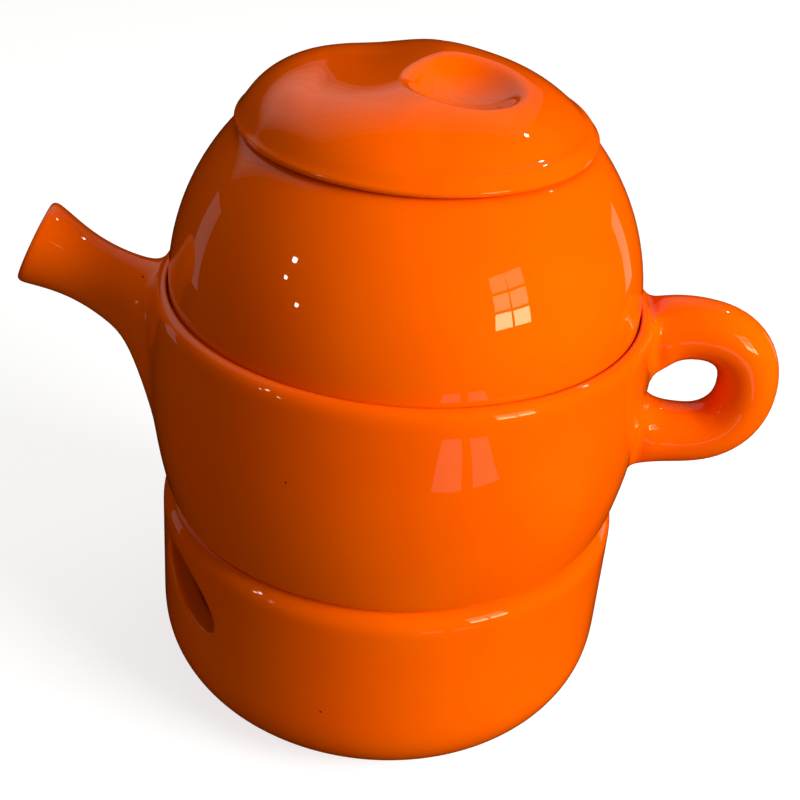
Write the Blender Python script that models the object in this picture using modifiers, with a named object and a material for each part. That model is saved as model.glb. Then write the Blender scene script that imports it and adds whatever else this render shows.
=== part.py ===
"""Fondue pot set in glazed earthenware, stacked on a candle warmer.

From the table up: a round warmer with two side vents, a tea light on its
floor, a spouted pot that seats in the warmer's mouth, a round inner bowl that
hangs on a ledge just inside the pot's rim, and a domed lid with a thumb scoop.
Metres, +Z up. The origin is the centre of the warmer's flat underside. The
spout points along -X and the handle along +X.
"""

import math

import bmesh
import bpy
from mathutils import Vector

for old in list(bpy.data.objects):
    bpy.data.objects.remove(old, do_unlink=True)

MM = 0.001

# Clearances
GAP = 0.3            # between pieces that rest on each other
SEAT_PLAY = 0.4      # radial play of the bowl in the pot's rim
FIT = 0.6            # radial play of a piece that drops into another

# Warmer
WARMER_R = 76.0      # outer wall
WARMER_H = 74.1      # rim height
WARMER_WALL = 7.7
WARMER_FLOOR = 7.0
HEEL_R = 27.0        # round of the outer heel
LIP_R = 7.0          # round of the rim's outer edge
VENT_W = 35.2        # long width of the oval vent
VENT_H = 16.8
VENT_Z = 52.2
VENT_TURN = 55.0     # degrees from the front towards the spout side
VENT_TILT = 23.0     # degrees, end nearest the front lower
RECESS_DEPTH = 1.0   # seat of the tea light in the floor
RECESS_PLAY = 1.3

# Pot
POT_H = 72.5         # from the warmer's rim to the pot's rim
BELLY_OUT = 1.5      # widest radius beyond the rim
BELLY_UP = 43.6      # height of the belly above the warmer's rim
POT_FOOT_IN = 1.9    # foot of the pot's wall inside the warmer's wall
POT_WALL = 5.2
POT_PLUG = 9.0       # how far the foot drops into the warmer
POT_FLOOR = 6.0
POT_FILLET = 8.0     # round between the floor and the wall inside
LEDGE_DEPTH = 6.0    # the bowl's ledge below the pot's rim
LEDGE_W = 5.0
RIM_ROUND = 2.1      # half the thickness of the rim

# Spout and handle
SPOUT_REACH = 115.6
SPOUT_UP = 75.9      # mouth centre above the warmer's rim
SPOUT_WAIST = 10.6
SPOUT_MOUTH = 13.5
SPOUT_ROOT = 21.0
SPOUT_WALL = 3.1
SPOUT_NECK = 0.62    # place of the waist along the spout, 0 root to 1 mouth
HANDLE_REACH = 113.6
HANDLE_R = 10.0      # radius of the section
HANDLE_TOP = 65.0    # centre line of the upper limb above the warmer's rim
HANDLE_DROP = 38.4   # distance between the limbs' centre lines

# Inner bowl
BOWL_R = 73.6        # outside of the dome
BOWL_WALL = 5.4
BOWL_LOW_WALL = 4.6
BOWL_FLOOR = 5.5
BOWL_SET = 5.4       # dome centre above the shoulder it hangs by
WATER_DEPTH = 20.2   # room for water between the pot's floor and the bowl
BOWL_RISE = 51.4     # dome centre up to the mouth's rim
MOUTH_R = 42.9

# Lid
LID_R = 53.8
LID_CROWN = 17.8     # height of the crown above the edge
LID_EDGE = 1.9       # thickness of the edge below the crown
LID_POWER = 3.4
FLANGE_DEPTH = 5.0
FLANGE_WALL = 4.5
SCOOP_R = 19.0
SCOOP_DEPTH = 7.0
SCOOP_OUT = 17.2     # scoop centre from the lid's centre
SCOOP_TURN = -37.2   # degrees from +X
LID_WALL = 6.2       # thickness left under the scoop

# Tea light
CUP_R = 19.0
CUP_H = 16.0
CUP_WALL = 0.5
WAX_DROP = 3.4       # wax below the cup's edge
CLIP_H = 3.0
CLIP_R = 8.0
NECK_R = 1.9
WICK_R = 0.9
WICK_UP = 6.0        # wick above the wax

SEGMENTS = 44        # facets round each turned piece

# Heights and radii that follow
MOUTH_IN = WARMER_R - WARMER_WALL
POT_BASE = WARMER_H + GAP
POT_TOP = WARMER_H + POT_H
RIM_IN = BOWL_R + SEAT_PLAY
POT_RIM_R = RIM_IN + 2.0 * RIM_ROUND
BELLY_R = POT_RIM_R + BELLY_OUT
POT_FOOT_R = WARMER_R - POT_FOOT_IN
LEDGE_R = RIM_IN - LEDGE_W
LEDGE_Z = POT_TOP - LEDGE_DEPTH
BELLY_Z = WARMER_H + BELLY_UP
SHOULDER_Z = LEDGE_Z + GAP
BOWL_Z = SHOULDER_Z + BOWL_SET
BOWL_LOW_R = LEDGE_R - SEAT_PLAY
POT_FLOOR_Z = POT_BASE - POT_PLUG + POT_FLOOR
BOWL_DROP = BOWL_Z - POT_FLOOR_Z - WATER_DEPTH
BOWL_TOP = BOWL_Z + BOWL_RISE
LID_Z = BOWL_TOP + GAP
CANDLE_Z = WARMER_FLOOR - RECESS_DEPTH + GAP

parts = bpy.data.collections.new("fondue_pot_set")
bpy.context.scene.collection.children.link(parts)
cutters = bpy.data.collections.new("cutters")
bpy.context.scene.collection.children.link(cutters)


def arc(cx, cz, r, start, stop, steps):
    """Points on an arc in the XZ half-plane, angles in degrees from +X."""
    pts = []
    for i in range(steps + 1):
        a = math.radians(start + (stop - start) * i / steps)
        pts.append((cx + r * math.cos(a), cz + r * math.sin(a)))
    return pts


def smooth(low, high, value):
    t = min(1.0, max(0.0, (value - low) / (high - low)))
    return t * t * (3.0 - 2.0 * t)


def finish(obj, group):
    group.objects.link(obj)
    if group is cutters:
        obj.hide_render = True
        obj.display_type = "WIRE"
    return obj


def turned(name, pts, group, closed=False):
    """A profile in the XZ half-plane spun about Z with the Screw modifier."""
    mesh = bpy.data.meshes.new(name)
    verts = [(x * MM, 0.0, z * MM) for x, z in pts]
    edges = [(i, i + 1) for i in range(len(verts) - 1)]
    if closed:
        edges.append((len(verts) - 1, 0))
    mesh.from_pydata(verts, edges, [])
    obj = finish(bpy.data.objects.new(name, mesh), group)
    screw = obj.modifiers.new("spin", "SCREW")
    screw.axis = "Z"
    screw.angle = math.tau
    screw.steps = SEGMENTS
    screw.render_steps = SEGMENTS
    screw.use_merge_vertices = True
    screw.merge_threshold = 0.00001
    screw.use_smooth_shade = True
    return obj


def tube(name, line, radii, sides, group):
    """A round bar along a line of points, closed at both ends."""
    curve = bpy.data.curves.new(name, "CURVE")
    curve.dimensions = "3D"
    curve.bevel_depth = MM
    curve.bevel_resolution = sides
    curve.use_fill_caps = True
    spline = curve.splines.new("POLY")
    spline.points.add(len(line) - 1)
    for point, place, radius in zip(spline.points, line, radii):
        point.co = (place[0] * MM, place[1] * MM, place[2] * MM, 1.0)
        point.radius = radius
    drawn = bpy.data.objects.new(name + "_line", curve)
    cutters.objects.link(drawn)
    bpy.context.view_layer.update()
    seen = drawn.evaluated_get(bpy.context.evaluated_depsgraph_get())
    mesh = bpy.data.meshes.new_from_object(seen)
    mesh.name = name
    bpy.data.objects.remove(drawn, do_unlink=True)
    work = bmesh.new()
    work.from_mesh(mesh)
    bmesh.ops.remove_doubles(work, verts=work.verts, dist=0.00001)
    bmesh.ops.recalc_face_normals(work, faces=work.faces)
    work.to_mesh(mesh)
    work.free()
    for face in mesh.polygons:
        face.use_smooth = True
    return finish(bpy.data.objects.new(name, mesh), group)


def boolean(obj, other, how):
    mod = obj.modifiers.new(how.lower() + "_" + other.name, "BOOLEAN")
    mod.operation = how
    mod.solver = "EXACT"
    mod.object = other


def material(obj, colour, metallic, roughness):
    mat = bpy.data.materials.new(obj.name)
    mat.use_nodes = True
    shader = mat.node_tree.nodes["Principled BSDF"]
    shader.inputs["Base Color"].default_value = (*colour, 1.0)
    shader.inputs["Metallic"].default_value = metallic
    shader.inputs["Roughness"].default_value = roughness
    mat.diffuse_color = (*colour, 1.0)
    obj.data.materials.clear()
    obj.data.materials.append(mat)


ORANGE = (0.78, 0.13, 0.004)

# ---------------------------------------------------------------- warmer
# A thick bowl with a flat underside, a full round heel and a soft lip.
profile = [(0.0, WARMER_FLOOR - RECESS_DEPTH)]
recess_r = CUP_R + RECESS_PLAY
profile += [(recess_r, WARMER_FLOOR - RECESS_DEPTH), (recess_r + 0.8, WARMER_FLOOR)]
inner_heel = HEEL_R - WARMER_FLOOR
profile += arc(MOUTH_IN - inner_heel, HEEL_R, inner_heel, -90.0, 0.0, 5)
profile += arc(MOUTH_IN + 1.0, WARMER_H - 1.0, 1.0, 180.0, 90.0, 2)
profile += arc(WARMER_R - LIP_R, WARMER_H - LIP_R, LIP_R, 90.0, 0.0, 4)
profile += arc(WARMER_R - HEEL_R, HEEL_R, HEEL_R, 0.0, -90.0, 8)
profile += [(0.0, 0.0)]
warmer = turned("warmer_base", profile, parts)

# Oval vents, one on each side of the axis, cut along a radius.
for index in range(2):
    turn = math.radians(-90.0 - VENT_TURN + 180.0 * index)
    bpy.ops.mesh.primitive_cylinder_add(vertices=24, radius=1.0, depth=2.0)
    vent = bpy.context.object
    vent.name = "vent_cutter_%d" % index
    for used in list(vent.users_collection):
        used.objects.unlink(vent)
    finish(vent, cutters)
    out = Vector((math.cos(turn), math.sin(turn), 0.0))
    side = Vector((-math.sin(turn), math.cos(turn), 0.0))
    tilt = math.radians(VENT_TILT)
    wide = side * math.cos(tilt) - Vector((0.0, 0.0, 1.0)) * math.sin(tilt)
    tall = side * math.sin(tilt) + Vector((0.0, 0.0, 1.0)) * math.cos(tilt)
    for vert in vent.data.vertices:
        x, y, z = vert.co
        at = out * (WARMER_R - WARMER_WALL / 2 + z * 1.6 * WARMER_WALL)
        at = at + wide * (x * VENT_W / 2) + tall * (y * VENT_H / 2)
        vert.co = (at + Vector((0.0, 0.0, VENT_Z))) * MM
    work = bmesh.new()
    work.from_mesh(vent.data)
    bmesh.ops.recalc_face_normals(work, faces=work.faces)
    work.to_mesh(vent.data)
    work.free()
    boolean(warmer, vent, "DIFFERENCE")
material(warmer, ORANGE, 0.0, 0.12)


# ------------------------------------------------------------------- pot
def belly(z):
    """Outer radius of the pot's wall at height z."""
    if z < BELLY_Z:
        return BELLY_R - (BELLY_R - POT_FOOT_R) * ((BELLY_Z - z) / (BELLY_UP - 1.0)) ** 2
    top = POT_TOP - RIM_ROUND
    return BELLY_R - (BELLY_R - POT_RIM_R) * ((z - BELLY_Z) / (top - BELLY_Z)) ** 2


floor_z = POT_FLOOR_Z
plug_r = MOUTH_IN - FIT / 2 - 0.1
profile = [(0.0, floor_z)]
fillet_z = floor_z + POT_FILLET
profile += arc(belly(fillet_z) - POT_WALL - POT_FILLET, fillet_z, POT_FILLET, -90.0, 0.0, 4)
for share in (0.3, 0.62, 1.0):
    z = fillet_z + share * (BELLY_Z - fillet_z)
    profile.append((belly(z) - POT_WALL, z))
profile.append((LEDGE_R + 3.6, LEDGE_Z - 11.0))
profile.append((LEDGE_R + 1.0, LEDGE_Z - 4.5))
profile.append((LEDGE_R, LEDGE_Z - 2.5))
profile += [(LEDGE_R, LEDGE_Z), (RIM_IN, LEDGE_Z)]
rim_mid = RIM_IN + RIM_ROUND
profile += arc(rim_mid, POT_TOP - RIM_ROUND, RIM_ROUND, 180.0, 90.0, 3)
profile += arc(POT_RIM_R - RIM_ROUND, POT_TOP - RIM_ROUND, RIM_ROUND, 75.0, 0.0, 3)
for share in (0.75, 0.5, 0.25):
    z = BELLY_Z + share * (POT_TOP - RIM_ROUND - BELLY_Z)
    profile.append((belly(z), z))
for share in (1.0, 0.8, 0.6, 0.4, 0.2, 0.05):
    z = POT_BASE + share * (BELLY_Z - POT_BASE)
    profile.append((belly(z), z))
profile.append((POT_FOOT_R - 1.2, POT_BASE))
profile.append((plug_r + 0.2, POT_BASE))
profile.append((plug_r, POT_BASE - 0.6))
profile += arc(plug_r - 3.0, POT_BASE - POT_PLUG + 3.0, 3.0, 0.0, -90.0, 3)
profile.append((0.0, POT_BASE - POT_PLUG))
pot = turned("pot", profile, parts)

# The line of the spout, out from the belly and up to the flared mouth.
mouth_z = WARMER_H + SPOUT_UP
line_a = (-BELLY_R + 9.7, mouth_z - 24.7)
line_b = (-BELLY_R - 4.3, mouth_z - 16.5)
line_c = (-SPOUT_REACH + 12.9, mouth_z - 6.7)
line_d = (-SPOUT_REACH, mouth_z)


def spout_at(t):
    u = 1.0 - t
    w = (u * u * u, 3 * u * u * t, 3 * u * t * t, t * t * t)
    x = w[0] * line_a[0] + w[1] * line_b[0] + w[2] * line_c[0] + w[3] * line_d[0]
    z = w[0] * line_a[1] + w[1] * line_b[1] + w[2] * line_c[1] + w[3] * line_d[1]
    return (x, 0.0, z)


def spout_radius(t):
    if t < SPOUT_NECK:
        return SPOUT_WAIST + (SPOUT_ROOT - SPOUT_WAIST) * (1.0 - t / SPOUT_NECK) ** 1.7
    flare = (t - SPOUT_NECK) / (1.0 - SPOUT_NECK)
    return SPOUT_WAIST + (SPOUT_MOUTH - SPOUT_WAIST) * flare ** 1.6


steps = [0.0, 0.12, 0.24, 0.36, 0.48, 0.6, 0.72, 0.82, 0.91, 0.97]
line = [spout_at(t) for t in steps] + [spout_at(1.0)]
radii = [spout_radius(t) for t in steps] + [SPOUT_MOUTH - 0.9]
spout = tube("spout_body", line, radii, 4, cutters)

# The root is trimmed back to the middle of the pot's wall.
core_z = fillet_z + 2.0
core = [(0.0, core_z)]
core += [(belly(core_z) - POT_WALL / 2, core_z)]
core += [(belly(z) - POT_WALL / 2, z) for z in (BELLY_Z - 25.0, BELLY_Z - 8.0, BELLY_Z, BELLY_Z + 8.0)]
core += [(RIM_IN + 0.6, LEDGE_Z), (RIM_IN + 0.6, POT_TOP + 8.0), (0.0, POT_TOP + 8.0)]
trim = turned("trim_core", list(reversed(core)), cutters)
boolean(spout, trim, "DIFFERENCE")
boolean(pot, spout, "UNION")

# The handle: two limbs out from the wall, joined by a half-round loop.
top_z = WARMER_H + HANDLE_TOP
mid_z = top_z - HANDLE_DROP / 2
loop_r = HANDLE_DROP / 2
loop_x = HANDLE_REACH - loop_r
root_x = BELLY_R - 3.4
line = [(root_x, 0.0, top_z - 3.2), (root_x + 5.0, 0.0, top_z - 1.6), (root_x + 10.0, 0.0, top_z - 0.3)]
radii = [HANDLE_R - 1.8, HANDLE_R - 0.8, HANDLE_R]
for x, z in arc(loop_x, mid_z, loop_r, 88.0, -88.0, 10):
    line.append((x, 0.0, z))
    radii.append(HANDLE_R)
line += [(root_x + 8.0, 0.0, top_z - HANDLE_DROP), (root_x, 0.0, top_z - HANDLE_DROP - 0.8)]
radii += [HANDLE_R, HANDLE_R + 0.8]
handle = tube("handle_bar", line, radii, 3, cutters)
boolean(pot, handle, "UNION")

# The spout's bore, from outside the mouth into the pot.
steps = [0.02, 0.2, 0.38, 0.56, 0.72, 0.84, 0.94, 1.0]
line = [spout_at(t) for t in steps]
radii = [max(SPOUT_WAIST, min(spout_radius(t), SPOUT_WAIST + 2.0)) - SPOUT_WALL for t in steps]
end = Vector(line[-1]) - Vector(line[-2])
line.append(tuple(Vector(line[-1]) + end.normalized() * 4.0))
radii.append(radii[-1] + 0.6)
bore = tube("bore_cutter", line, radii, 3, cutters)
boolean(pot, bore, "DIFFERENCE")
material(pot, ORANGE, 0.0, 0.12)

# ------------------------------------------------------------ inner bowl
# Round outside, hung by a shoulder, with a smaller round body below it.
floor_in = BOWL_Z - BOWL_DROP + BOWL_FLOOR
low_in = BOWL_LOW_R - BOWL_LOW_WALL
high_in = BOWL_R - BOWL_WALL
start = math.degrees(math.asin((floor_in - BOWL_Z) / low_in))
stop = math.degrees(math.acos(MOUTH_R / high_in))
profile = [(0.0, floor_in)]
for i in range(11):
    a = math.radians(start + (stop - start) * i / 10)
    r = low_in + (high_in - low_in) * smooth(-10.0, 8.0, low_in * math.sin(a))
    profile.append((r * math.cos(a), BOWL_Z + r * math.sin(a)))
profile[-1] = (MOUTH_R, BOWL_TOP - 1.0)
profile.append((MOUTH_R + 1.0, BOWL_TOP))
edge = math.degrees(math.asin((BOWL_RISE - 1.2) / BOWL_R))
profile.append((BOWL_R * math.cos(math.radians(edge)) - 1.3, BOWL_TOP))
sunk = math.degrees(math.asin((SHOULDER_Z + 0.6 - BOWL_Z) / BOWL_R))
profile += arc(0.0, BOWL_Z, BOWL_R, edge, sunk, 8)
profile.append((BOWL_R * math.cos(math.radians(sunk)) - 0.7, SHOULDER_Z))
low = math.degrees(math.asin((SHOULDER_Z - BOWL_Z) / BOWL_LOW_R))
foot = math.degrees(math.asin((4.0 - BOWL_DROP) / BOWL_LOW_R))
profile += arc(0.0, BOWL_Z, BOWL_LOW_R, low, foot, 6)
foot_x = BOWL_LOW_R * math.cos(math.radians(foot))
profile += [(foot_x - 2.6, BOWL_Z - BOWL_DROP + 0.9), (foot_x - 5.4, BOWL_Z - BOWL_DROP)]
profile.append((0.0, BOWL_Z - BOWL_DROP))
bowl = turned("inner_bowl", profile, parts)
material(bowl, ORANGE, 0.0, 0.12)

# ------------------------------------------------------------------- lid
# A low cap with a rounded edge, hollow below, located by a flange.
crown_r = LID_R - 0.7
crown_z = LID_Z + LID_EDGE
flange_r = MOUTH_R - FIT
flange_in = flange_r - FLANGE_WALL
roof = crown_z + LID_CROWN - SCOOP_DEPTH - LID_WALL


def crown(r):
    return crown_z + LID_CROWN * (1.0 - (r / crown_r) ** LID_POWER)


profile = [(0.0, roof)]
for share in (0.35, 0.65, 0.85, 1.0):
    profile.append((flange_in * share, roof - 6.0 * share * share))
profile += [(flange_in, LID_Z - FLANGE_DEPTH + 1.2), (flange_in + 1.0, LID_Z - FLANGE_DEPTH)]
profile += [(flange_r - 1.0, LID_Z - FLANGE_DEPTH), (flange_r, LID_Z - FLANGE_DEPTH + 1.2)]
profile += [(flange_r, LID_Z), (LID_R - 1.5, LID_Z)]
profile += [(LID_R - 0.3, LID_Z + 0.7), (LID_R, LID_Z + 1.7), (LID_R - 0.4, crown(LID_R - 1.4) - 0.3)]
for share in (0.94, 0.82, 0.68, 0.53, 0.38, 0.2):
    profile.append((crown_r * share, crown(crown_r * share)))
profile.append((0.0, crown(0.0)))
lid = turned("lid", list(reversed(profile)), parts)

# Thumb scoop beside the crown's centre.
ball = (SCOOP_R * SCOOP_R + SCOOP_DEPTH * SCOOP_DEPTH) / (2.0 * SCOOP_DEPTH)
bpy.ops.mesh.primitive_uv_sphere_add(segments=28, ring_count=24, radius=ball * MM)
scoop = bpy.context.object
scoop.name = "scoop_cutter"
for used in list(scoop.users_collection):
    used.objects.unlink(scoop)
finish(scoop, cutters)
turn = math.radians(SCOOP_TURN)
lift = crown(SCOOP_OUT) - SCOOP_DEPTH + ball
for vert in scoop.data.vertices:
    vert.co.x += SCOOP_OUT * math.cos(turn) * MM
    vert.co.y += SCOOP_OUT * math.sin(turn) * MM
    vert.co.z += lift * MM
boolean(lid, scoop, "DIFFERENCE")
material(lid, ORANGE, 0.0, 0.12)

# ------------------------------------------------------------- tea light
cup_floor = CANDLE_Z + CUP_WALL
profile = [(0.0, cup_floor), (CUP_R - CUP_WALL, cup_floor), (CUP_R - CUP_WALL, CANDLE_Z + CUP_H)]
profile += [(CUP_R, CANDLE_Z + CUP_H), (CUP_R, CANDLE_Z + 0.6), (CUP_R - 0.6, CANDLE_Z), (0.0, CANDLE_Z)]
cup = turned("tealight_cup", profile, parts)
material(cup, (0.75, 0.76, 0.77), 1.0, 0.3)

wax_z = cup_floor + GAP
wax_r = CUP_R - CUP_WALL - GAP
wax_top = CANDLE_Z + CUP_H - WAX_DROP
clip_top = wax_z + 0.5
neck_top = clip_top + CLIP_H
bore_r = WICK_R + GAP
profile = [(CLIP_R + GAP, wax_z), (CLIP_R + GAP, clip_top + GAP), (NECK_R + GAP, clip_top + GAP)]
profile += [(NECK_R + GAP, neck_top + GAP), (bore_r, neck_top + GAP), (bore_r, wax_top)]
profile += [(wax_r - 0.5, wax_top), (wax_r, wax_top - 0.5), (wax_r, wax_z)]
wax = turned("tealight_wax", profile, parts, closed=True)
material(wax, (0.85, 0.82, 0.74), 0.0, 0.5)

profile = [(0.0, clip_top), (bore_r, clip_top), (bore_r, neck_top), (NECK_R, neck_top)]
profile += [(NECK_R, clip_top), (CLIP_R, clip_top), (CLIP_R, wax_z), (0.0, wax_z)]
clip = turned("wick_clip", profile, parts)
material(clip, (0.6, 0.6, 0.6), 1.0, 0.35)

wick_top = wax_top + WICK_UP
profile = [(0.0, wick_top), (WICK_R - 0.2, wick_top), (WICK_R, wick_top - 0.4)]
profile += [(WICK_R, clip_top + GAP), (0.0, clip_top + GAP)]
wick = turned("wick", profile, parts)
material(wick, (0.72, 0.68, 0.58), 0.0, 0.9)

for small, facets in ((cup, 32), (wax, 32), (clip, 16), (wick, 16)):
    small.modifiers["spin"].steps = facets
    small.modifiers["spin"].render_steps = facets
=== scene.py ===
import math

import bmesh
import bpy
from mathutils import Matrix, Vector


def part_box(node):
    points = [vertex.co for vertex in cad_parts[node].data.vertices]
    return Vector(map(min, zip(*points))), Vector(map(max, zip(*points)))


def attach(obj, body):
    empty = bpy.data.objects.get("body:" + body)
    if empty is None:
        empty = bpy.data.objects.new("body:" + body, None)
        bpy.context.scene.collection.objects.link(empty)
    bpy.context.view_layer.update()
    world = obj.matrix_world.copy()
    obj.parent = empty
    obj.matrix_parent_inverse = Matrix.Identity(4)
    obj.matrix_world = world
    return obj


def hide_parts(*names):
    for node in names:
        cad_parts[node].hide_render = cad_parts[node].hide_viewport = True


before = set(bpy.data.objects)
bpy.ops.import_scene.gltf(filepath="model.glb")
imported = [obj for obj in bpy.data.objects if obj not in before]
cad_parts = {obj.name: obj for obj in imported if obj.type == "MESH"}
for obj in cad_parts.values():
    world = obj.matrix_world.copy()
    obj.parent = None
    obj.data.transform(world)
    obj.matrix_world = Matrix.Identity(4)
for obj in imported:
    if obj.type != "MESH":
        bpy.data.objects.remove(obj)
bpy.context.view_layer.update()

# THE WARMER. A heavy bowl of slip-cast earthenware that stands on the table.
# It has a full round heel, a soft lip that takes the pot, and an oval vent
# through each side, cut in the soft clay and sponged round before the firing.
MM = 0.001
warmer_r, warmer_h = 76.0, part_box("warmer_base")[1].z / MM
warmer_in, heel_r, floor_h = 68.3, 27.0, 7.0
vent_turn, vent_h, vent_wide, vent_tall, vent_tilt = -145.0, 52.2, 17.6, 8.4, 23.0
vent_flare, vent_depth, vent_ease = 1.7, 0.9, 0.35
cut_turn, cut_wide, cut_tall, lip_r = 15, 20.0, 12, 7.0


def arc(cx, cz, radius, start, stop, steps):
    """Radii and heights along a round stretch of an outline, angles from level."""
    turns = [math.radians(start + (stop - start) * i / steps) for i in range(steps + 1)]
    return [(cx + radius * math.cos(a), cz + radius * math.sin(a)) for a in turns]


def swell(count):
    """How much a ring of this many points is drawn larger, as the smoothing shrinks it."""
    return 3 / (2 + math.cos(math.tau / count))


def throw(name, rings, turn=0.0, around=48):
    """A round piece pulled up ring by ring, from its inside floor to its underside."""
    bpy.ops.object.select_all(action="DESELECT")
    rings = [(radius * swell(around), height) for radius, height in rings]
    radius, height = rings[0]
    bpy.ops.mesh.primitive_circle_add(
        vertices=around, radius=radius * MM, location=(0, 0, height * MM),
        rotation=(0, 0, math.radians(turn)))
    piece = bpy.context.object
    piece.name = name
    bpy.ops.object.transform_apply(location=True, rotation=True, scale=True)
    bpy.ops.object.mode_set(mode="EDIT")
    bpy.ops.mesh.select_all(action="SELECT")
    bpy.ops.mesh.fill_grid(span=around // 4)
    bpy.ops.mesh.region_to_loop()
    for next_radius, next_height in rings[1:]:
        bpy.ops.mesh.extrude_edges_move(
            TRANSFORM_OT_translate={"value": (0, 0, (next_height - height) * MM)})
        grow = next_radius / radius
        bpy.ops.transform.resize(value=(grow, grow, 1), center_override=(0, 0, 0))
        radius, height = next_radius, next_height
    bpy.ops.mesh.fill_grid(span=around // 4)
    bpy.ops.mesh.select_all(action="SELECT")
    bpy.ops.mesh.normals_make_consistent(inside=False)
    bpy.ops.object.mode_set(mode="OBJECT")
    return piece


def pick(piece, wanted):
    """Selects the faces whose centres are wanted, in edit mode, and nothing else."""
    bpy.ops.mesh.select_mode(type="FACE")
    bpy.ops.mesh.select_all(action="DESELECT")
    work = bmesh.from_edit_mesh(piece.data)
    for face in work.faces:
        if wanted(face.calc_center_median() / MM):
            face.select = True
    bmesh.update_edit_mesh(piece.data)


def pick_open(piece, wanted=lambda c: True):
    """Selects the open edges left round a cut, where their middles are wanted."""
    bpy.ops.mesh.select_mode(type="EDGE")
    bpy.ops.mesh.select_all(action="DESELECT")
    work = bmesh.from_edit_mesh(piece.data)
    for edge in work.edges:
        if edge.is_boundary and wanted((edge.verts[0].co + edge.verts[1].co) / (2 * MM)):
            edge.select = True
    bmesh.update_edit_mesh(piece.data)


def edge_points(work):
    """The points round the outside of the selected faces of a mesh being worked."""
    rim = set()
    for edge in work.edges:
        if sum(1 for face in edge.link_faces if face.select) == 1:
            rim.update(edge.verts)
    return list(rim)


def in_turn(points, angle_of):
    """Points sorted by their angle, each with an even share of the full turn."""
    points = sorted(points, key=angle_of)
    share = math.tau / len(points)
    start = sum(angle_of(p) - i * share for i, p in enumerate(points)) / len(points)
    return [(p, start + i * share) for i, p in enumerate(points)]


def lay_oval(piece, radius, wide, tall):
    """Lays the edge of the picked faces on the tilted oval of the vent being cut."""
    def angle_of(point):
        turn = math.atan2(point.co.y, point.co.x) - vent_at
        turn = (turn + math.pi) % math.tau - math.pi
        return math.atan2((point.co.z / MM - vent_h) / cut_tall, turn * radius / cut_wide)
    tilt = math.radians(vent_tilt)
    work = bmesh.from_edit_mesh(piece.data)
    for point, angle in in_turn(edge_points(work), angle_of):
        along, up = wide * math.cos(angle), tall * math.sin(angle)
        side = along * math.cos(tilt) + up * math.sin(tilt)
        rise = -along * math.sin(tilt) + up * math.cos(tilt)
        turn = vent_at + side / radius
        point.co = Vector((radius * math.cos(turn), radius * math.sin(turn), vent_h + rise)) * MM
    bmesh.update_edit_mesh(piece.data)


def smooth_clay(piece, levels):
    """Rounds the whole form as the wet sponge and the glaze do."""
    bpy.ops.object.mode_set(mode="OBJECT")
    soft = piece.modifiers.new("soft", "SUBSURF")
    soft.levels = soft.render_levels = levels
    bpy.ops.object.modifier_apply(modifier="soft")
    bpy.ops.object.shade_smooth()


outline = [(12, floor_h - 1), (19.6, floor_h - 1), (20.4, floor_h - 0.7), (21.2, floor_h)]
outline += [(23, floor_h), (32, floor_h), (42, floor_h)]
outline += arc(warmer_in - 20, heel_r, 20, -90, 0, 5)[1:]
outline += [(warmer_in, z) for z in (33, vent_h - cut_tall, vent_h, vent_h + cut_tall)]
outline += [(warmer_in, warmer_h - 5), (warmer_in + 0.1, warmer_h - 1.6)]
outline += [(warmer_in + 0.6, warmer_h - 0.4), (warmer_in + 1.5, warmer_h)]
outline += arc(warmer_r - lip_r, warmer_h - lip_r, lip_r, 82, 0, 5)
outline += [(warmer_r, z) for z in (vent_h + cut_tall, vent_h, vent_h - cut_tall, 33)]
outline += arc(warmer_r - heel_r, heel_r, heel_r, 0, -84, 7)
outline += [(45.5, 0.0), (43.5, 0.0), (30, 0.0), (14, 0.0)]
warmer = throw("warmer", outline, turn=vent_turn)
bpy.ops.object.mode_set(mode="EDIT")
for side in range(2):
    vent_at = math.radians(vent_turn + 180 * side)

    def near_vent(centre):
        turn = (math.atan2(centre.y, centre.x) - vent_at + math.pi) % math.tau - math.pi
        return abs(turn) < math.radians(cut_turn) and abs(centre.z - vent_h) < cut_tall

    for wall, inset_r in ((warmer_r, warmer_r - vent_depth), (warmer_in, warmer_in + vent_depth)):
        pick(warmer, lambda c: near_vent(c) and abs(math.hypot(c.x, c.y) - wall) < 2)
        bpy.ops.mesh.inset(thickness=0.002)
        lay_oval(warmer, wall, vent_wide + vent_flare, vent_tall + vent_flare)
        bpy.ops.mesh.inset(thickness=0.001)
        lay_oval(warmer, inset_r, vent_wide + vent_ease, vent_tall + vent_ease)
        bpy.ops.mesh.delete(type="FACE")
    pick_open(warmer)
    bpy.ops.mesh.bridge_edge_loops(number_cuts=1)
smooth_clay(warmer, 2)
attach(warmer, "warmer")
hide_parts("warmer_base")


def colour(text):
    """An sRGB hex colour as the linear colour the shader takes."""
    parts = [int(text[i:i + 2], 16) / 255 for i in (1, 3, 5)]
    return (*[c / 12.92 if c <= 0.04045 else ((c + 0.055) / 1.055) ** 2.4 for c in parts], 1.0)


def add(tree, kind, settings=None, **links):
    """Adds a node, sets its options and sockets, and links its named sockets."""
    node = tree.nodes.new(kind)
    for name, value in (settings or {}).items():
        if isinstance(name, str) and hasattr(node, name):
            setattr(node, name, value)
        else:
            node.inputs[name].default_value = value
    for name, source in links.items():
        tree.links.new(source, node.inputs[name])
    return node


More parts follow.
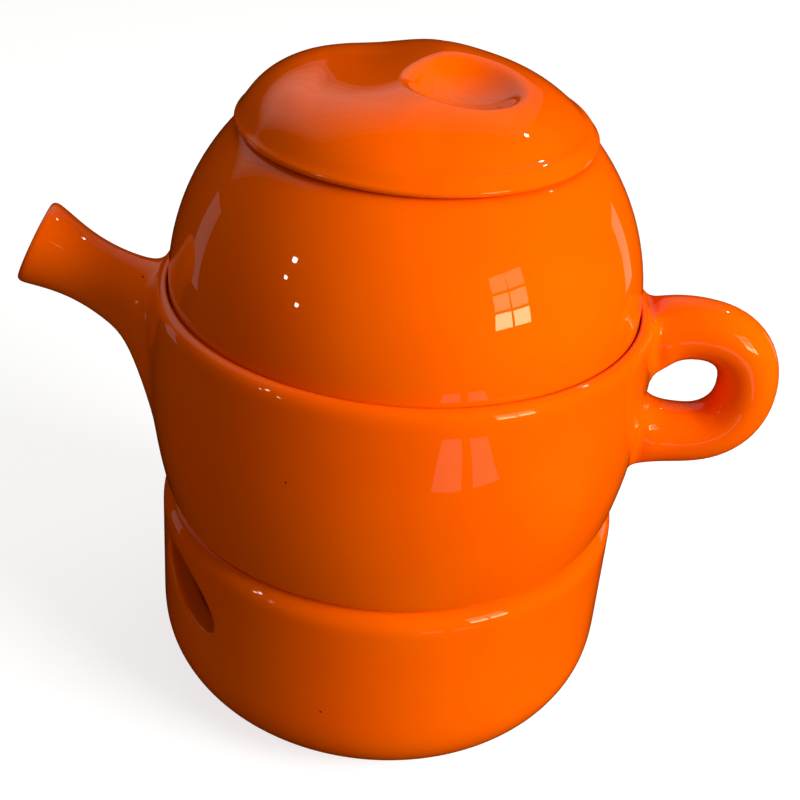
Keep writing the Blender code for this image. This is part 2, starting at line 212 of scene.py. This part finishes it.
# Glazed earthenware: an orange majolica glaze poured over cast clay and fired.
# It is one deep saturated orange under a clear glassy skin, a little redder
# where it pooled, with a few dark pinholes, and it was wiped off the foot.
def glazed(name, foot):
    """The glaze of one piece, bare buff clay below the height of its foot in mm."""
    made = bpy.data.materials.new(name)
    made.use_nodes = True
    tree = made.node_tree
    shader = tree.nodes["Principled BSDF"]
    shader.inputs["Specular IOR Level"].default_value = 0.0
    shader.inputs["Coat Roughness"].default_value = 0.02
    shader.inputs["Coat IOR"].default_value = 1.5
    place = add(tree, "ShaderNodeTexCoord").outputs["Object"]
    cloud = add(tree, "ShaderNodeTexNoise", {"Scale": 1 / 0.05, "Detail": 3.0}, Vector=place)
    tone = add(tree, "ShaderNodeValToRGB", Fac=cloud.outputs["Fac"])
    tone.color_ramp.elements[0].position, tone.color_ramp.elements[1].position = 0.35, 0.65
    tone.color_ramp.elements[0].color = colour("#ED5400")
    tone.color_ramp.elements[1].color = colour("#EF5C00")
    cell = add(tree, "ShaderNodeTexVoronoi", {"Scale": 1 / 0.0075}, Vector=place)
    below = {"operation": "LESS_THAN"}
    pinhole = add(tree, "ShaderNodeMath", {**below, 1: 0.055}, Value=cell.outputs["Distance"])
    few = add(tree, "ShaderNodeMath", {**below, 1: 0.2}, Value=cell.outputs["Color"])
    speck = add(tree, "ShaderNodeMath", {"operation": "MULTIPLY"}, Value=pinhole.outputs[0])
    tree.links.new(few.outputs[0], speck.inputs[1])
    spotted = add(tree, "ShaderNodeMix", {"data_type": "RGBA", 7: colour("#7A2400")})
    tree.links.new(tone.outputs["Color"], spotted.inputs[6])
    tree.links.new(speck.outputs[0], spotted.inputs[0])
    height = add(tree, "ShaderNodeSeparateXYZ", Vector=place).outputs["Z"]
    ragged = add(tree, "ShaderNodeTexNoise", {"Scale": 1 / 0.006, "Detail": 2.0}, Vector=place)
    lower = {"operation": "MULTIPLY_ADD", 1: -0.0005}
    line = add(tree, "ShaderNodeMath", lower, Value=ragged.outputs["Fac"])
    tree.links.new(height, line.inputs[2])
    bare = add(tree, "ShaderNodeMath", {**below, 1: foot * MM}, Value=line.outputs[0])
    skin = add(tree, "ShaderNodeMix", {"data_type": "RGBA", 7: colour("#D9B48A")})
    tree.links.new(bare.outputs[0], skin.inputs[0])
    tree.links.new(spotted.outputs[2], skin.inputs[6])
    tree.links.new(skin.outputs[2], shader.inputs["Base Color"])
    gloss = add(tree, "ShaderNodeMath", {"operation": "SUBTRACT", 0: 1.0})
    tree.links.new(bare.outputs[0], gloss.inputs[1])
    tree.links.new(gloss.outputs[0], shader.inputs["Coat Weight"])
    dull = add(tree, "ShaderNodeMapRange", {"To Min": 0.3, "To Max": 0.85}, Value=bare.outputs[0])
    tree.links.new(dull.outputs[0], shader.inputs["Roughness"])
    wave = add(tree, "ShaderNodeTexNoise", {"Scale": 1 / 0.022, "Detail": 1.0}, Vector=place)
    ripple = {"Strength": 0.3, "Distance": 0.0005}
    bump = add(tree, "ShaderNodeBump", ripple, Height=wave.outputs["Fac"])
    tree.links.new(bump.outputs["Normal"], shader.inputs["Normal"])
    tree.links.new(bump.outputs["Normal"], shader.inputs["Coat Normal"])
    return made


warmer.data.materials.append(glazed("glazed_earthenware_warmer", 0.2))

# THE POT. Slip-cast like the warmer, with its spout and its loop handle luted
# on and sponged in while the clay was soft, so that all three are one body. Its
# foot drops into the warmer and a ledge inside its rim carries the inner bowl.
pot_foot, pot_top = warmer_h + 0.3, 146.6
belly_r, belly_h, foot_r, rim_in = 79.7, 117.7, 74.1, 74.0
belly_fall, rim_draw, rim_rise, pot_wall = 42.0, 1.1, 22.3, 5.2


def belly(height):
    """Outside radius of the pot's wall."""
    if height < belly_h:
        return belly_r - (belly_r - foot_r) * ((belly_h - height) / belly_fall) ** 2
    return belly_r - rim_draw * ((height - belly_h) / rim_rise) ** 2


outline = [(20, 71.5), (40, 71.5), (56, 71.5), (62.5, 73), (67.5, 77), (70.4, 83), (72, 90)]
outline += [(belly(z) - pot_wall, z) for z in (97.5, 102, 108, 114, 120, 126, 130.5)]
outline += [(72.0, 135), (70.0, 138), (69.0, 139.6), (69.1, 140.5), (70.6, 140.6), (72.6, 140.6)]
outline += [(rim_in - 0.2, 140.7), (rim_in, 141.4), (rim_in, 144.6), (rim_in, 146.0)]
outline += [(74.25, pot_top - 0.05), (75.0, pot_top + 0.15), (76.2, pot_top - 0.2), (77.4, 145.4)]
outline += [(belly(z), z) for z in (143.2, 140, 133, 124, 114, 108, 102, 96, 90, 83, 78.8)]
outline += [(foot_r + 0.25, pot_foot + 2.2), (foot_r - 0.2, pot_foot + 0.9)]
outline += [(72.8, pot_foot + 0.15), (71, pot_foot), (68.8, pot_foot), (67.95, pot_foot - 0.6)]
outline += [(67.9, 72.5), (67.8, 69)]
outline += [(66.9, 67), (64.6, 65.7), (61.5, 65.4), (50, 65.4), (30, 65.4), (16, 65.4)]
pot = throw("pot", outline)
bpy.ops.object.mode_set(mode="EDIT")


def lay_ring(piece, points, centre, ahead, wide, tall, before):
    """Lays points on an oval across the way ahead, keeping their order from before."""
    wide, tall = wide * swell(len(points)), tall * swell(len(points))
    old_centre, old_ahead = before
    old_up = Vector((0, 1, 0)).cross(old_ahead)
    up = Vector((0, 1, 0)).cross(ahead)

    def angle_of(point):
        out = point.co / MM - old_centre
        return math.atan2(out.dot(old_up), out.y)
    for point, angle in in_turn(points, angle_of):
        at = centre + Vector((0, 1, 0)) * wide * math.cos(angle) + up * tall * math.sin(angle)
        point.co = at * MM
    bmesh.update_edit_mesh(piece.data)


def pull(piece, stations, start):
    """Pulls the selected loop of clay along stations of centre, way ahead, width, height."""
    before = start
    for centre, ahead, wide, tall in stations:
        centre = Vector((centre[0], 0, centre[1]))
        ahead = Vector((ahead[0], 0, ahead[1])).normalized()
        bpy.ops.mesh.extrude_edges_move(TRANSFORM_OT_translate={"value": (0, 0, 0)})
        work = bmesh.from_edit_mesh(piece.data)
        loop = [v for v in work.verts if v.select]
        lay_ring(piece, loop, centre, ahead, wide, tall, before)
        before = (centre, ahead)


def block(side, half, low, high, inner):
    """A test for the faces of one patch of the pot's wall, on the spout or handle side."""
    def wanted(c):
        out = math.hypot(c.x, c.y)
        on_wall = out < belly(c.z) - 3 if inner else out > belly(c.z) - 2
        level = math.degrees(math.atan2(c.y, c.x * side))
        return c.x * side > 0 and abs(level) < half and low < c.z < high and on_wall and out > 60
    return wanted


# The spout is a nearly straight trumpet. Its root flows out of the rim on top
# and out of the belly below, and its bore comes back into the pot.
pick(pot, block(-1, 15, 102, 145, False))
bpy.ops.mesh.delete(type="FACE")
pick_open(pot)
slope, mouth = (-0.89, 0.456), (-0.915, 0.403)
stations = [((-81.2, 131.0), (-0.95, 0.3), 16.0, 16.0), ((-85.2, 134.2), (-0.9, 0.43), 12.7, 12.7)]
stations += [((-90.0, 136.7), slope, 11.4, 11.5), ((-95.5, 139.6), slope, 10.7, 10.7)]
stations += [((-101.0, 142.5), slope, 10.7, 10.7), ((-106.0, 145.1), slope, 11.4, 11.4)]
stations += [((-110.4, 147.4), slope, 12.5, 12.5), ((-113.7, 149.2), mouth, 13.4, 13.4)]
stations += [((-115.5, 150.0), mouth, 13.6, 13.6), ((-116.6, 150.5), mouth, 12.6, 12.6)]
stations += [((-116.2, 150.3), mouth, 11.2, 11.2), ((-113.6, 149.0), mouth, 9.7, 9.7)]
stations += [((-108.0, 146.1), slope, 8.0, 8.0), ((-101.0, 142.5), slope, 7.4, 7.4)]
stations += [((-94.0, 138.8), slope, 7.4, 7.4), ((-87.0, 135.0), slope, 7.9, 7.9)]
stations += [((-80.0, 130.8), (-0.9, 0.43), 9.2, 9.2)]
pull(pot, stations, (Vector((-79, 0, 129)), Vector((-1, 0, 0))))
pick(pot, block(-1, 15, 97.5, 135.2, True))
bpy.ops.mesh.delete(type="FACE")
pick_open(pot)
bpy.ops.mesh.bridge_edge_loops()

# The handle is a thick round bar pulled out level with the rim, round in a
# loop a little squarer than a circle, and back into the belly.
loop_x, loop_z, loop_r, bar_r, squareness = 93.6, 120.1, 19.4, 9.95, 2.3
pick(pot, block(1, 7.5, 90, 114, False))
bpy.ops.mesh.delete(type="FACE")
pick(pot, block(1, 7.5, 124, 145, False))
bpy.ops.mesh.delete(type="FACE")
pick_open(pot, lambda c: c.z > 120)
stations = [((82.2, 136.7), (1, 0.16), 11.3, 11.9), ((86.0, 138.7), (1, 0.12), 10.4, 10.8)]
stations += [((90.0, 139.5), (1, 0.04), 10.1, 10.2)]
for angle in (86, 66, 44, 22, 0, -22, -44, -66, -86):
    a = math.radians(angle)
    corner = abs(math.cos(a)) ** squareness + abs(math.sin(a)) ** squareness
    out = loop_r / corner ** (1 / squareness)
    centre = (loop_x + out * math.cos(a), loop_z + out * math.sin(a))
    stations.append((centre, (math.sin(a), -math.cos(a)), bar_r, bar_r))
stations += [((87.4, 100.5), (-1, 0.0), 10.3, 10.3), ((82.4, 100.7), (-1, 0.05), 11.4, 11.6)]
pull(pot, stations, (Vector((79, 0, 135)), Vector((1, 0, 0))))
pick_open(pot)
bpy.ops.mesh.bridge_edge_loops()
bpy.ops.mesh.select_all(action="SELECT")
bpy.ops.mesh.normals_make_consistent(inside=False)
smooth_clay(pot, 2)
pot.data.materials.append(glazed("glazed_earthenware_pot", 65.5))
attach(pot, "pot")
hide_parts("pot")

# THE INNER BOWL. A round vessel that holds the fondue and hangs on the pot's
# ledge by a small shoulder, so that only its domed upper half shows.
bowl_r, bowl_h, bowl_in, bowl_low, low_in = 73.75, 146.3, 68.2, 68.6, 64.0
bowl_foot, bowl_top = bowl_h - 54.7, bowl_h + 51.4


def inside(angle):
    """Point on the bowl's inside, thinner below the shoulder than above it."""
    a = math.radians(angle)
    t = min(1, max(0, (low_in * math.sin(a) + 10) / 18))
    radius = low_in + (bowl_in - low_in) * t * t * (3 - 2 * t)
    return (radius * math.cos(a), bowl_h + radius * math.sin(a))


outline = [(12, bowl_foot + 5.5), (28, bowl_foot + 5.5), (37, bowl_foot + 5.9)]
outline += [inside(-49 + 98.5 * i / 14) for i in range(1, 15)]
outline += [(43.0, bowl_top - 1.2), (43.7, bowl_top - 0.2), (45.4, bowl_top)]
outline += [(50.2, bowl_top), (51.8, bowl_top - 0.5)]
outline += arc(0, bowl_h, bowl_r, 43.2, -3.4, 7)
outline += [(73.2, 141.4), (72.4, 140.9), (70.6, 140.9), (68.9, 140.8), (68.4, 140.0)]
outline += arc(0, bowl_h, bowl_low, -9, -46, 5)
outline += [(43.4, bowl_foot + 1.8), (40.6, bowl_foot + 0.3)]
outline += [(37, bowl_foot), (24, bowl_foot), (12, bowl_foot)]
bowl = throw("inner_bowl_piece", outline)
smooth_clay(bowl, 2)
bowl.data.materials.append(glazed("glazed_earthenware_bowl", bowl_foot + 0.2))
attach(bowl, "bowl")
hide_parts("inner_bowl")

# THE LID. A low cap whose edge stands a little proud of the bowl's mouth. A
# thumb pressed beside the middle of the soft clay left the scoop it lifts by,
# and a flange under it drops into the bowl's mouth.
lid_edge, crown_r, crown_h, lid_z = 199.9, 53.1, 17.8, bowl_top + 0.3
crown_power, side_power, side_fall, side_x, side_wide = 3.25, 4.2, 4.2, 6, 34
dent_x, dent_wide, dent_deep, hump_x, hump_wide, hump_high = -15, 12.5, 1.7, 7, 9, 0.5
scoop_x, scoop_y, scoop_r, scoop_deep, scoop_power, scoop_ease = 13.7, -10.4, 19.0, 7.8, 3.4, 2.4
scoop_ball = (scoop_r ** 2 + scoop_deep ** 2) / (2 * scoop_deep)


def crown(x, y):
    """Height of the lid's top, which is flatter, fuller and a little dented beside the scoop."""
    side = min(1, max(0, (side_x - x) / side_wide))
    out = min(1, math.hypot(x, y) / crown_r)
    top = lid_edge + (crown_h - side_fall * side) * (1 - out ** (crown_power + side_power * side))
    back = min(1, max(0, (y + 25) / 40))
    top -= dent_deep * math.exp(-((x - dent_x) / dent_wide) ** 2) * back * (1 - out ** 8)
    top += hump_high * math.exp(-((x - hump_x) / hump_wide) ** 2) * back * (1 - out ** 8)
    off = (x - scoop_x) ** 2 + (y - scoop_y) ** 2
    middle = lid_edge + crown_h * (1 - (math.hypot(scoop_x, scoop_y) / crown_r) ** scoop_power)
    if off > (scoop_r * 1.5) ** 2:
        return top
    dip = middle - scoop_deep + scoop_ball - math.sqrt(max(1, scoop_ball ** 2 - off))
    return min(dip, top) - max(0, scoop_ease - abs(dip - top)) ** 2 / (4 * scoop_ease)


outline = [(14, crown(14, 0))] + [(r, crown(-r, 0)) for r in (20, 26, 31.5, 36.5, 41, 45, 48.5, 51)]
outline += [(52.6, 200.9), (53.5, 200.1), (53.85, 199.3), (53.6, 198.5)]
outline += [(52.9, lid_z), (51.6, lid_z), (47, lid_z), (43.2, lid_z), (42.4, lid_z - 0.4)]
outline += [(42.3, lid_z - 3), (42.1, lid_z - 4.4), (41, lid_z - 5), (39.4, lid_z - 5)]
outline += [(38.1, lid_z - 4.4), (37.8, lid_z - 3), (37.4, lid_z)]
outline += [(34, 201), (26, 203), (14, 204.6)]
lid = throw("lid_piece", outline)
smooth_clay(lid, 2)
ease_r, ease_wide, crown_foot, set_over = 48.5, 4.0, 200.3, 0.4
for point in lid.data.vertices:
    x, y, z = point.co / MM
    near_edge = min(1, max(0, (math.hypot(x, y) - ease_r) / ease_wide))
    if z > crown_foot and near_edge < 1 and point.normal.z > 0.1:
        keep = near_edge * near_edge * (3 - 2 * near_edge)
        point.co.z = (crown(x, y) * (1 - keep) + z * keep) * MM
    point.co.x -= set_over * MM
lid.data.materials.append(glazed("glazed_earthenware_lid", lid_z - 4.8))
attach(lid, "lid")
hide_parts("lid")

# THE TEA LIGHT. A pressed foil cup with a rolled edge, filled with poured wax
# that has sunk a little round its waxed cotton wick. It stands in the recess
# of the warmer's floor and lifts straight out.
cup_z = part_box("tealight_cup")[0].z / MM
cup_h, wax_h = 16.0, 12.4
cup_top, wax_top = cup_z + cup_h, cup_z + wax_h
outline = [(5, cup_z + 0.5), (12, cup_z + 0.5), (17.2, cup_z + 0.6), (18.2, cup_z + 1.2)]
outline += [(18.4, cup_z + 3), (18.45, cup_top - 2), (18.45, cup_top - 0.6)]
outline += [(18.6, cup_top - 0.1), (18.9, cup_top), (19.15, cup_top - 0.25)]
outline += [(19.1, cup_top - 0.7), (18.9, cup_top - 1.1), (18.85, cup_z + 3)]
outline += [(18.7, cup_z + 0.7), (18.1, cup_z + 0.1), (16, cup_z), (10, cup_z), (5, cup_z)]
cup = throw("foil_cup", outline)
smooth_clay(cup, 1)
foil = bpy.data.materials.new("pressed_aluminium_foil")
foil.use_nodes = True
tree = foil.node_tree
shader = tree.nodes["Principled BSDF"]
shader.inputs["Base Color"].default_value = colour("#C9CBCD")
shader.inputs["Metallic"].default_value = 1.0
shader.inputs["Roughness"].default_value = 0.32
place = add(tree, "ShaderNodeTexCoord").outputs["Object"]
crinkle = add(tree, "ShaderNodeTexNoise", {"Scale": 1 / 0.003, "Detail": 2.0}, Vector=place)
relief = {"Strength": 0.3, "Distance": 0.0003}
bump = add(tree, "ShaderNodeBump", relief, Height=crinkle.outputs["Fac"])
tree.links.new(bump.outputs["Normal"], shader.inputs["Normal"])
cup.data.materials.append(foil)
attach(cup, "tealight")
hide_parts("tealight_cup")

# THE WAX. Paraffin that was poured hot into the cup and has set in it, with a
# low rise against the wall and round the wick. It comes out only with the cup.
outline = [(3, wax_top + 0.3), (7, wax_top), (12, wax_top), (16, wax_top + 0.15)]
outline += [(17.6, wax_top + 0.5), (18.1, wax_top + 0.75), (18.15, wax_top)]
outline += [(18.15, cup_z + 3), (18.0, cup_z + 1.4), (17, cup_z + 0.9)]
outline += [(11, cup_z + 0.85), (5, cup_z + 0.85)]
wax = throw("poured_wax", outline)
smooth_clay(wax, 1)
paraffin = bpy.data.materials.new("paraffin_wax")
paraffin.use_nodes = True
tree = paraffin.node_tree
shader = tree.nodes["Principled BSDF"]
shader.inputs["Base Color"].default_value = colour("#EFEBDD")
shader.inputs["Roughness"].default_value = 0.42
shader.inputs["Subsurface Weight"].default_value = 0.4
shader.inputs["Subsurface Scale"].default_value = 0.003
place = add(tree, "ShaderNodeTexCoord").outputs["Object"]
frost = add(tree, "ShaderNodeTexNoise", {"Scale": 1 / 0.004, "Detail": 4.0}, Vector=place)
relief = {"Strength": 0.25, "Distance": 0.0004}
bump = add(tree, "ShaderNodeBump", relief, Height=frost.outputs["Fac"])
tree.links.new(bump.outputs["Normal"], shader.inputs["Normal"])
wax.data.materials.append(paraffin)
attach(wax, "tealight")
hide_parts("tealight_wax")

# THE WICK. Braided cotton dipped in wax. It stands in its clip in the middle
# of the cup, is held by the wax, and leans over a little at its free end.
wick_top, lean_from, lean_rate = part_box("wick")[1].z / MM, 6, 0.03
outline = [(0.35, wick_top), (0.7, wick_top - 0.1), (0.85, wick_top - 0.6)]
outline += [(0.85, wick_top - 1.2 * i) for i in range(1, 6)] + [(0.8, 12), (0.8, 8.4), (0.4, 8.2)]
wick = throw("cotton_wick", outline, around=16)
smooth_clay(wick, 1)
for point in wick.data.vertices:
    over = max(0, point.co.z / MM - (wick_top - lean_from))
    point.co.x += lean_rate * over ** 2 * MM
cotton = bpy.data.materials.new("waxed_cotton")
cotton.use_nodes = True
tree = cotton.node_tree
shader = tree.nodes["Principled BSDF"]
shader.inputs["Base Color"].default_value = colour("#E8E1CC")
shader.inputs["Roughness"].default_value = 0.8
place = add(tree, "ShaderNodeTexCoord").outputs["Object"]
strands = {"bands_direction": "DIAGONAL", "Scale": 1 / 0.004}
braid = add(tree, "ShaderNodeTexWave", strands, Vector=place)
relief = {"Strength": 0.6, "Distance": 0.0003}
bump = add(tree, "ShaderNodeBump", relief, Height=braid.outputs["Fac"])
tree.links.new(bump.outputs["Normal"], shader.inputs["Normal"])
wick.data.materials.append(cotton)
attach(wick, "tealight")
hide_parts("wick")

# THE WICK CLIP. A pressed tinplate disc with a collar that holds the wick. It
# lies buried in the wax, so its plain turned form is enough, with a dull shine.
clip = bpy.data.objects["wick_clip"]
tin = bpy.data.materials.new("tinplate")
tin.use_nodes = True
tree = tin.node_tree
shader = tree.nodes["Principled BSDF"]
shader.inputs["Base Color"].default_value = colour("#B8BABC")
shader.inputs["Metallic"].default_value = 1.0
place = add(tree, "ShaderNodeTexCoord").outputs["Object"]
grain = add(tree, "ShaderNodeTexNoise", {"Scale": 1 / 0.002, "Detail": 2.0}, Vector=place)
dull = add(tree, "ShaderNodeMapRange", {"To Min": 0.3, "To Max": 0.45}, Value=grain.outputs["Fac"])
tree.links.new(dull.outputs[0], shader.inputs["Roughness"])
clip.data.materials.clear()
clip.data.materials.append(tin)

# THE TABLE AND THE LIGHT. A plain white sheet, so bright that its shadows stay
# faint, and a broad soft light from the right. A window, a pale wall and a few
# small lamps are there only for the glaze to mirror.
bpy.ops.mesh.primitive_plane_add(size=6.0, location=(0, 0, 0))
table = bpy.context.object
table.name = "table"
table.visible_diffuse = False
table.visible_glossy = False
paper = bpy.data.materials.new("matt_white_paper")
paper.use_nodes = True
shader = paper.node_tree.nodes["Principled BSDF"]
shader.inputs["Base Color"].default_value = colour("#A8A8A6")
shader.inputs["Roughness"].default_value = 0.9
shader.inputs["Specular IOR Level"].default_value = 0.1
shader.inputs["Emission Color"].default_value = colour("#FFFFFF")
shader.inputs["Emission Strength"].default_value = 0.74
table.data.materials.append(paper)


lamp_away, eye_height = 1.6, 0.13


def lamp(name, azimuth, height, size, glow, tint="#FFFFFF", matt=False, shiny=True):
    """A flat light at a compass angle and height, given by the brightness of its face."""
    a, h = math.radians(azimuth), math.radians(height)
    out = Vector((math.cos(a) * math.cos(h), math.sin(a) * math.cos(h), math.sin(h)))
    at = Vector((0, 0, eye_height)) + out * lamp_away
    bpy.ops.object.light_add(type="AREA", location=at)
    light = bpy.context.object
    light.name = name
    light.data.shape = "RECTANGLE"
    light.data.size, light.data.size_y = size
    light.data.energy = glow * math.pi * size[0] * size[1]
    light.data.color = colour(tint)[:3]
    light.rotation_euler = (-out).to_track_quat("-Z", "Y").to_euler()
    light.visible_diffuse = matt
    light.visible_glossy = shiny
    light.visible_camera = False
    return light


lamp("daylight", -28, 22, (0.9, 0.9), 16.5, matt=True, shiny=False)
lamp("ceiling", 30, 80, (1.0, 1.0), 2.0, matt=True, shiny=False)
for row, glow in ((0, 14.0), (1, 4.0), (2, 2.4)):
    for column in range(2):
        lamp("pane", -44 + 9 * column, 7 + 8 * row, (0.22, 0.19), glow, tint="#FFE2B0")
lamp("bulb_high", -146, 22, (0.055, 0.055), 60)
lamp("bulb_mid", -147, 14, (0.035, 0.035), 60)
lamp("bulb_low", -138, 6, (0.04, 0.04), 60)
lamp("bulb_over", 37, 46, (0.05, 0.05), 60)
for spread in range(5):
    size = (1.1 + 0.5 * spread, 0.6 + 0.34 * spread)
    lamp("far_wall", 124 - 3 * spread, 38 + 3 * spread, size, 0.13, tint="#FFE8E0")
lamp("doorway", 157, -3, (0.3, 0.7), 0.3)
lamp("curtain", 38, -4, (0.25, 0.5), 0.9, tint="#FFE8D0")
for place_x, place_y in ((0.125, -0.305), (0.19, -0.275)):
    patch = lamp("sunny_table", 0, 0, (0.05, 0.13), 0.6)
    patch.location = (place_x, place_y, 0.004)
    patch.rotation_euler = (math.pi, 0, math.radians(25))
world = bpy.data.worlds.new("room")
bpy.context.scene.world = world
world.use_nodes = True
world.node_tree.nodes["Background"].inputs["Color"].default_value = colour("#F2F0EE")
world.node_tree.nodes["Background"].inputs["Strength"].default_value = 0.28
world.cycles_visibility.glossy = False
bpy.context.scene.view_settings.view_transform = "Standard"

# THE CAMERA looks down on the front of the set, leaning a little to one side.
lean, down, away = math.radians(4.9), math.radians(31.3), 0.4616
look_at = Vector((0.00142, 0, 0.1035))
back = Vector((0, -math.cos(down), math.sin(down)))
level = Vector((1, 0, 0))
rise = level.cross(-back)
across = level * math.cos(lean) + rise * math.sin(lean)
upward = rise * math.cos(lean) - level * math.sin(lean)
bpy.ops.object.camera_add()
camera = bpy.context.object
turned = Matrix((across, upward, back)).transposed().to_4x4()
camera.matrix_world = Matrix.Translation(look_at + back * away) @ turned
camera.data.sensor_width = 36
camera.data.lens = 63
camera.data.clip_start = 0.01
bpy.context.scene.camera = camera
